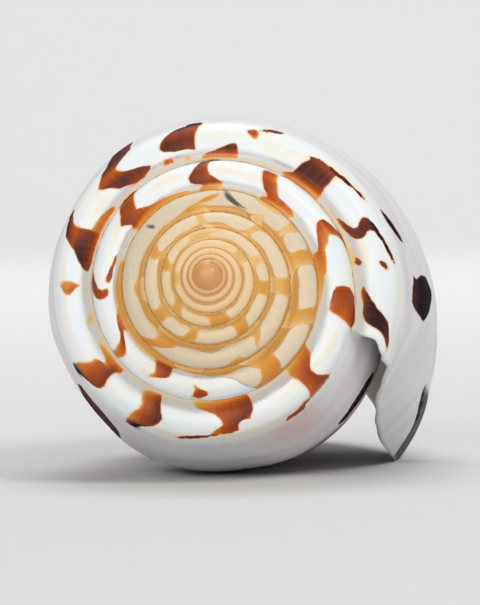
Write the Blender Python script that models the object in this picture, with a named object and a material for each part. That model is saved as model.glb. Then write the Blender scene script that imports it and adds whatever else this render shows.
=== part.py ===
"""A cone shell, lying on its side with the aperture down and the spire towards -Y.

The shell grew as one piece, so it is one solid. Its outside is one sheet, ruled by one law of growth:
a growth line is carried round the axis, and gets larger by the same share with every turn.
Down each growth line the place is called `across`: 0 at the suture, 1 at the shoulder, 2 at the canal.
Round the shell the place is called `turn`, in degrees of growth: 0 at the lip, and less before it.
"""

import math

import bmesh
import bpy
import numpy as np
from mathutils import Matrix

MM = 0.001

# Growth of the whorls, in millimetres and degrees. Heights are below the apex.
SUTURE_RADIUS = 13.79
GROWTH_PER_TURN = 1.334
SPIRE_SLOPE = 0.68
CANAL_DEPTH = 76.0
LIP_AZIMUTH = 107.0
TURNS = 7

# The earliest whorls stand a little off the last whorl's axis, and a little above its cone.
EARLY_SHIFT = (-0.13, 0.42, 0.9)
EARLY_REACH = 6.0

# Relief of the ramp between suture and shoulder, as a share of the suture's radius: a band, a groove, a swell.
RAMP_RELIEF = [(0, 0), (0.05, 0.020), (0.12, 0.026), (0.20, 0.012), (0.27, 0.008), (0.36, 0.022)]
RAMP_RELIEF += [(0.55, 0.058), (0.74, 0.074), (0.87, 0.066), (0.95, 0.040), (1, 0)]

# Radius down the side, as a share of the shoulder's: a taper, a swelling, and the wide base of the last half turn.
TAPER = [(0, 1), (0.12, 1), (0.22, 0.98), (0.34, 0.93), (0.46, 0.855), (0.58, 0.755), (0.70, 0.625)]
TAPER += [(0.82, 0.475), (0.92, 0.335), (1, 0.22)]
SWELLING = [(0, 0), (0.05, 0.42), (0.12, 0.82), (0.20, 1), (0.32, 0.95), (0.46, 0.80), (0.58, 0.60)]
SWELLING += [(0.70, 0.40), (0.82, 0.25), (1, 0.15)]
WIDE_BASE = [(0, 0), (0.22, 0.02), (0.34, 0.08), (0.46, 0.16), (0.60, 0.25), (0.75, 0.275), (1, 0.24)]
WIDE_BASE_FROM = -170.0

# How strong the swelling is, round the shell: least on the back, most at the lip.
SWELLING_ROUND = [(-600, 0.19), (-360, 0.215), (-335, 0.20), (-305, 0.17), (-275, 0.13), (-230, 0.08)]
SWELLING_ROUND += [(-190, 0.095), (-140, 0.12), (-80, 0.115), (-50, 0.14), (-20, 0.185), (0, 0.21), (30, 0.22)]

# The lip: how far its edge runs ahead of the suture's end, in degrees, and how far it turns in, in millimetres.
LIP_LEAD = [(0, 0), (0.5, 0.2), (0.8, 3), (1, 5.1), (1.08, 13.1), (1.19, 20.3), (1.34, 22.6), (1.46, 22.5)]
LIP_LEAD += [(1.58, 19), (1.8, 3), (1.92, -12), (2, -28)]
LIP_LEAD_FROM = -80.0
LIP_CURL = [(0.6, 0), (0.8, 0.2), (1, 0.8), (1.08, 3), (1.15, 3.7), (1.26, 2.7), (1.42, 0.7), (1.5, 0.3)]
LIP_CURL += [(2, 0.2)]
LIP_CURL_FROM = -34.0
LIP_CURL_TO = 2.0
LIP_CURL_BEND = 1.6

# The wall of the last whorl, and the hollow behind the aperture.
LIP_THICKNESS = 0.55
WALL_THICKNESS = 1.3
WALL_FULL_AT = -60.0
HOLLOW_DEPTH = 120.0
# The wall's outward direction, in degrees from the axis, across the growth line.
WALL_FACING = [(0, 30), (0.5, 25), (0.85, 40), (1, 62), (1.1, 80), (1.3, 92), (1.6, 103), (2, 100)]

# Resolution: columns for each turn, and rows across the ramp and down the side.
COLUMNS = 48
RAMP_ROWS = [0, 0.08, 0.20, 0.36, 0.60, 0.84, 1]
SIDE_ROWS = [0.045, 0.085, 0.13, 0.19, 0.26, 0.34, 0.42, 0.50, 0.58, 0.66, 0.74, 0.82, 0.89, 0.95, 1]
FIRST_INNER_ROW = 3
BASE_DOME = 1.2
APEX_DOME = 0.9

# At rest: the roll about the shell's own axis, the rise of the spire end, and the depth worn flat underneath.
REST_ROLL = -0.4
REST_RISE = 9.0
WORN_FLAT = 0.15
CUT_TOLERANCE = 1e-5

SHELL_COLOUR = (0.80, 0.74, 0.66, 1)
SHELL_ROUGHNESS = 0.32
SHARPEST_SMOOTH_EDGE = 40.0


def clear_scene():
    for obj in list(bpy.data.objects):
        bpy.data.objects.remove(obj, do_unlink=True)


def curve(points, x):
    """A smooth curve through the points that never overshoots them."""
    xs, ys = np.array(points, float).T
    steps = np.diff(xs)
    slopes = np.diff(ys) / steps
    inner = np.zeros(len(slopes) - 1)
    same_way = slopes[:-1] * slopes[1:] > 0
    before, after = slopes[:-1][same_way], slopes[1:][same_way]
    inner[same_way] = 2 * before * after / (before + after)
    tangents = np.concatenate([slopes[:1], inner, slopes[-1:]])
    x = np.clip(np.asarray(x, float), xs[0], xs[-1])
    k = np.clip(np.searchsorted(xs, x, side="right") - 1, 0, len(xs) - 2)
    t = (x - xs[k]) / steps[k]
    rise = (3 - 2 * t) * t * t
    return (
        ys[k] + (ys[k + 1] - ys[k]) * rise
        + steps[k] * ((t - 2) * t + 1) * t * tangents[k]
        + steps[k] * (t - 1) * t * t * tangents[k + 1]
    )


def ease(start, end, x):
    t = np.clip((np.asarray(x, float) - start) / (end - start), 0, 1)
    return t * t * (3 - 2 * t)


def grown_point(turn, across, depth=0.0):
    """A point of the outside, or one that lies `depth` millimetres inside it, in the shell's own frame."""
    turn_now = turn + curve(LIP_LEAD, across) * ease(LIP_LEAD_FROM, 0, turn)
    suture = SUTURE_RADIUS * GROWTH_PER_TURN ** (turn_now / 360)
    shoulder = suture * GROWTH_PER_TURN
    if across <= 1:
        radius = suture + (shoulder - suture) * across
        height = -SPIRE_SLOPE * radius + suture * curve(RAMP_RELIEF, across)
    else:
        down = across - 1
        share = curve(TAPER, down) + curve(SWELLING_ROUND, turn_now) * curve(SWELLING, down)
        share += ease(WIDE_BASE_FROM, 0, turn_now) * curve(WIDE_BASE, down)
        radius = shoulder * share
        height = -SPIRE_SLOPE * shoulder * (1 - down) - CANAL_DEPTH * down
    radius -= curve(LIP_CURL, across) * ease(LIP_CURL_FROM, LIP_CURL_TO, turn) ** LIP_CURL_BEND
    facing = math.radians(curve(WALL_FACING, across))
    radius -= depth * math.sin(facing)
    height -= depth * math.cos(facing)
    azimuth = math.radians(LIP_AZIMUTH + turn_now)
    early = math.exp(-((radius / EARLY_REACH) ** 2))
    return (
        radius * math.sin(azimuth) + EARLY_SHIFT[0] * early,
        radius * math.cos(azimuth) + EARLY_SHIFT[1] * early,
        height + EARLY_SHIFT[2] * early,
    )


def wall_thickness(turn):
    return LIP_THICKNESS + (WALL_THICKNESS - LIP_THICKNESS) * (1 - ease(WALL_FULL_AT, 0, turn))


class Sheets:
    """The shell's outside, the inside of its last wall, and the faces that close them into one solid."""

    def __init__(self):
        self.mesh = bmesh.new()
        self.step = 360 / COLUMNS
        self.hollow = round(HOLLOW_DEPTH / self.step)
        self.first = -TURNS * COLUMNS
        self.rows = [*RAMP_ROWS, *[1 + down for down in SIDE_ROWS]]
        self.shoulder_row = len(RAMP_ROWS) - 1
        self.last_row = len(self.rows) - 1
        self.outside = {}
        self.inside = {}

    def outer(self, column, row):
        """The shoulder of one turn is the suture of the next, except where the hollow parts them."""
        if row == self.shoulder_row and column + COLUMNS <= 0:
            column, row = column + COLUMNS, 0
        if (column, row) not in self.outside:
            place = grown_point(column * self.step, self.rows[row])
            self.outside[column, row] = self.mesh.verts.new(place)
        return self.outside[column, row]

    def inner(self, column, row):
        if (column, row) not in self.inside:
            turn = column * self.step
            place = grown_point(turn, self.rows[row], wall_thickness(turn))
            self.inside[column, row] = self.mesh.verts.new(place)
        return self.inside[column, row]

    def patch(self, vertex, columns, rows):
        """Quads over a block of a sheet, whose vertices are vertex(column, row)."""
        for column in columns:
            for row in rows:
                corners = (
                    vertex(column, row), vertex(column, row + 1),
                    vertex(column + 1, row + 1), vertex(column + 1, row),
                )
                self.mesh.faces.new(corners)

    def strip(self, one, other):
        """Quads between two lines of vertices of the same length."""
        for k in range(len(one) - 1):
            self.mesh.faces.new((one[k], one[k + 1], other[k + 1], other[k]))

    def fan(self, centre, line):
        middle = self.mesh.verts.new(centre) if isinstance(centre, tuple) else centre
        for k in range(len(line) - 1):
            self.mesh.faces.new((middle, line[k], line[k + 1]))

    def outside_faces(self):
        self.patch(self.outer, range(self.first, 0), range(self.shoulder_row))
        self.patch(self.outer, range(-COLUMNS, 0), range(self.shoulder_row, self.last_row))
        covered = range(-COLUMNS - self.hollow, -COLUMNS)
        self.patch(self.outer, covered, range(self.shoulder_row + 1, self.last_row))

    def inside_faces(self):
        self.patch(self.inner, range(-self.hollow, 0), range(FIRST_INNER_ROW, self.last_row))

    def hollow_faces(self):
        """The roof of the hollow, under the suture, and its closed end."""
        low = self.shoulder_row + 1
        columns = range(-self.hollow, 1)
        roof = [self.inner(column, FIRST_INNER_ROW) for column in columns]
        wall_top = [self.outer(column - COLUMNS, low) for column in columns]
        self.strip(roof, wall_top)
        end = -self.hollow
        self.fan(wall_top[0], [self.inner(end, row) for row in range(FIRST_INNER_ROW, low + 1)])
        rows = range(low, self.last_row + 1)
        far_side = [self.outer(end - COLUMNS, row) for row in rows]
        self.strip([self.inner(end, row) for row in rows], far_side)

    def rim_faces(self):
        """The edge of the lip, the edge of the base, and the corner where the lip leaves the suture."""
        rows = range(FIRST_INNER_ROW, self.last_row + 1)
        self.strip([self.outer(0, row) for row in rows], [self.inner(0, row) for row in rows])
        columns = range(-self.hollow, 1)
        base_outer = [self.outer(column, self.last_row) for column in columns]
        self.strip(base_outer, [self.inner(column, self.last_row) for column in columns])
        corner = self.outer(-COLUMNS, self.shoulder_row + 1)
        edge = [self.outer(0, row) for row in range(FIRST_INNER_ROW)]
        self.fan(corner, [*edge, self.inner(0, FIRST_INNER_ROW)])
        self.mesh.faces.new((edge[-1], self.outer(0, FIRST_INNER_ROW), self.inner(0, FIRST_INNER_ROW)))

    def end_faces(self):
        """The canal end, and the first grown cap at the apex."""
        columns = range(-self.hollow - COLUMNS, -self.hollow + 1)
        base = [self.outer(column, self.last_row) for column in columns]
        base += [self.inner(-self.hollow, self.last_row), base[0]]
        self.fan((0.0, 0.0, -CANAL_DEPTH - BASE_DOME), base)
        start = [self.outer(column, 0) for column in range(self.first, self.first + COLUMNS + 1)]
        start += [self.outer(self.first, row) for row in range(self.shoulder_row - 1, -1, -1)]
        top = EARLY_SHIFT[2] + APEX_DOME - SPIRE_SLOPE * start[0].co.xy.length
        self.fan((EARLY_SHIFT[0], EARLY_SHIFT[1], top), start)

    def solid(self):
        self.outside_faces()
        self.inside_faces()
        self.hollow_faces()
        self.rim_faces()
        self.end_faces()
        bmesh.ops.recalc_face_normals(self.mesh, faces=self.mesh.faces)
        return self.mesh


def lay_down(mesh):
    """Turns the shell to the way it rests, wears it flat where it touches, and puts the origin under its middle."""
    roll = Matrix.Rotation(math.radians(REST_ROLL), 4, "Z")
    lay = Matrix.Rotation(math.radians(90 - REST_RISE), 4, "X")
    bmesh.ops.transform(mesh, matrix=lay @ roll, verts=mesh.verts)
    floor = min(vertex.co.z for vertex in mesh.verts) + WORN_FLAT
    bmesh.ops.triangulate(mesh, faces=mesh.faces)
    everything = [*mesh.verts, *mesh.edges, *mesh.faces]
    cut = bmesh.ops.bisect_plane(
        mesh, geom=everything, dist=CUT_TOLERANCE, plane_co=(0, 0, floor), plane_no=(0, 0, -1),
        clear_outer=True,
    )
    edges = [item for item in cut["geom_cut"] if isinstance(item, bmesh.types.BMEdge)]
    bmesh.ops.holes_fill(mesh, edges=edges)
    low = [min(vertex.co[axis] for vertex in mesh.verts) for axis in range(3)]
    high = [max(vertex.co[axis] for vertex in mesh.verts) for axis in range(3)]
    middle = (-(low[0] + high[0]) / 2, -(low[1] + high[1]) / 2, -low[2])
    bmesh.ops.translate(mesh, vec=middle, verts=mesh.verts)
    bmesh.ops.scale(mesh, vec=(MM, MM, MM), verts=mesh.verts)


def shell_material():
    material = bpy.data.materials.new("shell")
    material.use_nodes = True
    principled = material.node_tree.nodes["Principled BSDF"]
    principled.inputs["Base Color"].default_value = SHELL_COLOUR
    principled.inputs["Roughness"].default_value = SHELL_ROUGHNESS
    principled.inputs["Metallic"].default_value = 0.0
    return material


def make_shell():
    mesh = Sheets().solid()
    lay_down(mesh)
    data = bpy.data.meshes.new("shell")
    mesh.to_mesh(data)
    mesh.free()
    data.materials.append(shell_material())
    data.shade_smooth()
    data.set_sharp_from_angle(angle=math.radians(SHARPEST_SMOOTH_EDGE))
    shell = bpy.data.objects.new("shell", data)
    bpy.context.scene.collection.objects.link(shell)
    return shell


clear_scene()
make_shell()
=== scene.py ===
# %% [markdown]
# A cone shell, seen along its axis from the spire. The shell grew as one piece, so it is one mesh here.
# The frame below holds its plain solid at its real size, and this script grows the fine surface over the
# same growth law, then colours it.

# %% The frame
import math

import bpy
import numpy as np
from mathutils import Matrix, Vector


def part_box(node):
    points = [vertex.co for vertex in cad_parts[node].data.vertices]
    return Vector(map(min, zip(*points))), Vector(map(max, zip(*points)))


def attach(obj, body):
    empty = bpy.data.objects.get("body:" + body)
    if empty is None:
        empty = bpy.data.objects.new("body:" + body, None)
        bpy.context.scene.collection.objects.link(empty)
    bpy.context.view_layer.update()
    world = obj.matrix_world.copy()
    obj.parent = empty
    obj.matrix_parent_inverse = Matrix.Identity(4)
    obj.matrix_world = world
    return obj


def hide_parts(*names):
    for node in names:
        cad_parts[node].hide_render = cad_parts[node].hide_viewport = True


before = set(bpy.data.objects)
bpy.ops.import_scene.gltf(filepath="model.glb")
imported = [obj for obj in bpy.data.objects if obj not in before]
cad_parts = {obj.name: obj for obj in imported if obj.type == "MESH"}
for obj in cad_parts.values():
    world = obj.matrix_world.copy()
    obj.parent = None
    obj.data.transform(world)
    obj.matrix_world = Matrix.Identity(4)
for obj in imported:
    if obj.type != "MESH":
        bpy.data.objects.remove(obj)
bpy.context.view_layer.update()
MM = 0.001

# %% [markdown]
# A sea snail adds shell only at the lip, and every turn is the same as the last but larger by one fixed
# share. So two numbers say where any place on the shell is. The turn is in degrees: 0 at the lip, -360
# one whorl earlier. Across runs down a growth line: 0 at the suture, 1 at the shoulder, 2 at the far end
# of the canal. These are the sizes of that law. Lengths are in millimetres, and heights are measured
# below the apex. The earliest whorls of a real shell stand a little off the later axis. So the places
# within EARLY_REACH of the axis are shifted sideways and up by EARLY_SHIFT, and are a little flatter on
# the side that faces FLAT_TOWARDS.

# %% Sizes of the growth law
SUTURE_RADIUS = 13.79
GROWTH_PER_TURN = 1.334
SPIRE_SLOPE = 0.68
CANAL_DEPTH = 76.0
LIP_AZIMUTH = 107.0
TURNS = 8.25
EARLY_SHIFT = (-0.13, 0.42, 0.9)
EARLY_REACH = 6.0
EARLY_FLAT = 0.13
FLAT_TOWARDS = 315.0
print("radius of the shoulder at the lip:", round(SUTURE_RADIUS * GROWTH_PER_TURN, 1), "mm")

# %% [markdown]
# The law needs a few drawn curves as well. Each is a short list of points, as a maker would mark them on
# a card template. RAMP_RELIEF is the profile between suture and shoulder, as a share of the suture's
# radius. TAPER, SWELLING and WIDE_BASE shape the side from the shoulder, at 0, to the canal, at 1, as
# shares of the shoulder's radius. SWELLING_ROUND says how strong the swelling is at each turn, because
# the real whorl isn't quite round. LIP_LEAD says by how many degrees the lip's edge runs ahead of the
# growth line, and LIP_CURL by how many millimetres it turns in. WALL_FACING is the direction of the
# wall's thickness, in degrees from the axis.

# %% Template curves
RAMP_RELIEF = [(0, 0), (0.05, 0.022), (0.12, 0.028), (0.20, 0.008), (0.27, 0.000), (0.36, 0.018)]
RAMP_RELIEF += [(0.55, 0.062), (0.74, 0.084), (0.87, 0.078), (0.95, 0.050), (1, 0)]
TAPER = [(0, 1), (0.12, 1), (0.22, 0.98), (0.34, 0.93), (0.46, 0.855), (0.58, 0.755), (0.70, 0.625)]
TAPER += [(0.82, 0.475), (0.92, 0.335), (1, 0.22)]
SWELLING = [(0, 0), (0.05, 0.42), (0.12, 0.82), (0.20, 1), (0.32, 0.95), (0.46, 0.80), (0.58, 0.60)]
SWELLING += [(0.70, 0.40), (0.82, 0.25), (1, 0.15)]
WIDE_BASE = [(0, 0), (0.22, 0.02), (0.34, 0.08), (0.46, 0.16), (0.60, 0.25), (0.75, 0.275), (1, 0.24)]
WIDE_BASE_FROM = -170.0
SWELLING_ROUND = [(-600, 0.19), (-360, 0.23), (-335, 0.22), (-305, 0.165), (-290, 0.14), (-265, 0.135)]
SWELLING_ROUND += [(-240, 0.09), (-225, 0.08), (-200, 0.10), (-170, 0.095), (-135, 0.135), (-115, 0.125)]
SWELLING_ROUND += [(-80, 0.13), (-60, 0.145), (-20, 0.18), (0, 0.205), (20, 0.24), (30, 0.24)]
LIP_LEAD = [(0, 0), (0.5, 0), (0.8, 3), (1, 5), (1.04, 7), (1.08, 11.5), (1.14, 17), (1.2, 20.5)]
LIP_LEAD += [(1.3, 22.5), (1.42, 22.5), (1.5, 21), (1.58, 19), (1.8, 3), (1.92, -12), (2, -28)]
LIP_LEAD_FROM = -80.0
LIP_CURL = [(0.6, 0), (0.8, 0.3), (1, 0.8), (1.04, 1.7), (1.08, 3), (1.15, 4), (1.2, 3.5), (1.3, 2.1)]
LIP_CURL += [(1.42, 0.8), (1.5, 0.3), (2, 0.2)]
LIP_CURL_FROM = -34.0
LIP_CURL_TO = 2.0
LIP_CURL_BEND = 1.6
WALL_FACING = [(0, 30), (0.5, 25), (0.85, 40), (1, 62), (1.1, 80), (1.3, 92), (1.6, 103), (2, 100)]
LIP_THICKNESS = 0.35
WALL_THICKNESS = 1.3
WALL_FULL_AT = -60.0
print(len(TAPER), "points draw the taper of the side")

# %% [markdown]
# First the shell is laid out flat, as a chart. Each vertex of the chart knows its turn, how far across it
# is and how deep inside the wall it lies. The shoulder of one whorl is the suture of the next, so those
# two rows share their vertices. Each face corner also keeps its own turn and across, because a shared
# vertex has two of them. A plain loop does this best: it is the one place where the sheets are sewn into
# a closed skin.

# %% Rows and columns of the chart
COLUMNS = 288
STEP = 360 / COLUMNS
RAMP_ROWS = 20
SIDE_ROWS = 84
HOLLOW_DEPTH = 120.0
CROWDING = 0.6
CAP_RINGS = 9


def ramp_across(row):
    """Rows of the ramp, closer together at the suture and at the shoulder."""
    share = row / RAMP_ROWS
    return share - CROWDING * math.sin(math.tau * share) / math.tau


def side_across(row):
    """Rows of the side, closer together near the shoulder."""
    share = row / SIDE_ROWS
    return 1 + share * (1 + share / 2) / 1.5


ACROSS = [ramp_across(row) for row in range(RAMP_ROWS + 1)]
ACROSS += [side_across(row) for row in range(1, SIDE_ROWS + 1)]
SHOULDER_ROW = RAMP_ROWS
LAST_ROW = len(ACROSS) - 1
FIRST_INNER_ROW = 8
COVERED_ROW = SHOULDER_ROW + 5
HOLLOW = round(HOLLOW_DEPTH / STEP)
print("the hollow's roof starts at across", round(ACROSS[FIRST_INNER_ROW], 2))

# %% Sewing the chart
OUTSIDE, MIDDLE, INSIDE = 0.0, 0.5, 1.0


class Chart:
    """The shell spread flat. A place is (column, row, depth). Closing draws it in towards the axis."""

    def __init__(self):
        self.places = []
        self.known = {}
        self.faces = []
        self.written = []

    def vertex(self, place, closing=0.0):
        """The number of a place's vertex. A shoulder place is the suture place of the next whorl."""
        column, row, depth = place
        if depth == OUTSIDE and row == SHOULDER_ROW and column + COLUMNS <= 0:
            column, row = column + COLUMNS, 0
        key = (column, row, depth, closing)
        if key not in self.known:
            self.known[key] = len(self.places)
            self.places.append((column * STEP, ACROSS[row], depth, closing))
        return self.known[key]

    def face(self, corners, closings=None):
        """One face, with a note of the turn, across and depth that each of its corners has."""
        closings = (closings or [0.0] * len(corners))[::-1]
        corners = corners[::-1]
        self.faces.append([self.vertex(place, closing) for place, closing in zip(corners, closings)])
        self.written += [(column * STEP, ACROSS[row], depth) for column, row, depth in corners]

    def sheet(self, columns, rows, depth):
        """A net of faces. Outside faces look out, and inside faces look into the hollow."""
        for column in columns:
            for row in rows:
                corners = [(column, row, depth), (column, row + 1, depth)]
                corners += [(column + 1, row + 1, depth), (column + 1, row, depth)]
                self.face(corners[::-1] if depth == INSIDE else corners)

    def strip(self, one, other):
        """A row of faces between two lines of places."""
        for k in range(len(one) - 1):
            self.face([one[k], one[k + 1], other[k + 1], other[k]])

    def cap(self, line, side):
        """Rings that draw a closed line to a point on the axis. side is 1 at the apex and -1 at the base."""
        for ring in range(CAP_RINGS):
            near, far = side * ring / CAP_RINGS, side * (ring + 1) / CAP_RINGS
            for k in range(len(line) - 1):
                if ring < CAP_RINGS - 1:
                    self.face([line[k], line[k + 1], line[k + 1], line[k]], [near, near, far, far])
                else:
                    self.tip(line[k], line[k + 1], near, side)

    def tip(self, one, other, near, side):
        """The faces of the last ring meet in one vertex, which takes its notes from the ring."""
        middle = (0, 0 if side > 0 else LAST_ROW, OUTSIDE)
        self.face([one, other, middle], [near, near, side])
        self.written[-3] = self.written[-2]


def line_of(columns, row, depth=OUTSIDE):
    return [(column, row, depth) for column in columns]


def sew_shell():
    chart = Chart()
    first = round(-TURNS * COLUMNS)
    chart.sheet(range(first, 0), range(SHOULDER_ROW), OUTSIDE)
    chart.sheet(range(-COLUMNS, 0), range(SHOULDER_ROW, LAST_ROW), OUTSIDE)
    chart.sheet(range(-COLUMNS - HOLLOW, -COLUMNS), range(COVERED_ROW, LAST_ROW), OUTSIDE)
    chart.sheet(range(-HOLLOW, 0), range(FIRST_INNER_ROW, LAST_ROW), INSIDE)
    hollow = range(-HOLLOW, 1)
    chart.strip(line_of([c - COLUMNS for c in hollow], COVERED_ROW), line_of(hollow, FIRST_INNER_ROW, INSIDE))
    end_rows = range(COVERED_ROW, LAST_ROW + 1)
    far_wall = [(-HOLLOW - COLUMNS, row, OUTSIDE) for row in end_rows]
    chart.strip([(-HOLLOW, row, INSIDE) for row in end_rows], far_wall)
    for row in range(FIRST_INNER_ROW, COVERED_ROW):
        chart.face([far_wall[0], (-HOLLOW, row, INSIDE), (-HOLLOW, row + 1, INSIDE)])
    rim_rows = range(FIRST_INNER_ROW, LAST_ROW + 1)
    outer, middle, inner = [[(0, row, depth) for row in rim_rows] for depth in (OUTSIDE, MIDDLE, INSIDE)]
    chart.strip(outer, middle)
    chart.strip(middle, inner)
    base = line_of(hollow, LAST_ROW)
    chart.strip(line_of(hollow, LAST_ROW, INSIDE), base)
    chart.face([base[-1], (0, LAST_ROW, MIDDLE), (0, LAST_ROW, INSIDE)][::-1])
    corner = (0, FIRST_INNER_ROW, INSIDE)
    for row in range(SHOULDER_ROW, COVERED_ROW):
        chart.face([corner, (-COLUMNS, row + 1, OUTSIDE), (-COLUMNS, row, OUTSIDE)])
    for row in range(FIRST_INNER_ROW):
        chart.face([(0, row, OUTSIDE), (0, row + 1, OUTSIDE), corner])
    chart.face([(0, FIRST_INNER_ROW, OUTSIDE), (0, FIRST_INNER_ROW, MIDDLE), corner])
    canal = line_of(range(-HOLLOW - COLUMNS, -HOLLOW + 1), LAST_ROW)
    canal += [(-HOLLOW, LAST_ROW, INSIDE), canal[0]]
    chart.cap(canal[::-1], -1)
    start = line_of(range(first, first + COLUMNS + 1), 0)
    start += [(first, row, OUTSIDE) for row in range(SHOULDER_ROW - 1, -1, -1)]
    chart.cap(start, 1)
    return chart


chart = sew_shell()
print(len(chart.places), "vertices and", len(chart.faces), "faces in the chart")

# %% The chart as a mesh
def written_values(mesh, name, domain, values):
    mesh.attributes.new(name, "FLOAT", domain).data.foreach_set("value", np.asarray(values, np.float32))


def chart_mesh(chart):
    mesh = bpy.data.meshes.new("shell_chart")
    flat = [(turn * MM, across, depth) for turn, across, depth, closing in chart.places]
    mesh.from_pydata(flat, [], chart.faces)
    for name, values in zip(("turn", "across", "depth", "closing"), zip(*chart.places)):
        written_values(mesh, name, "POINT", values)
    return mesh


shell_chart = chart_mesh(chart)
print("attributes:", [item.name for item in shell_chart.attributes if not item.name.startswith(".")])
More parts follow.
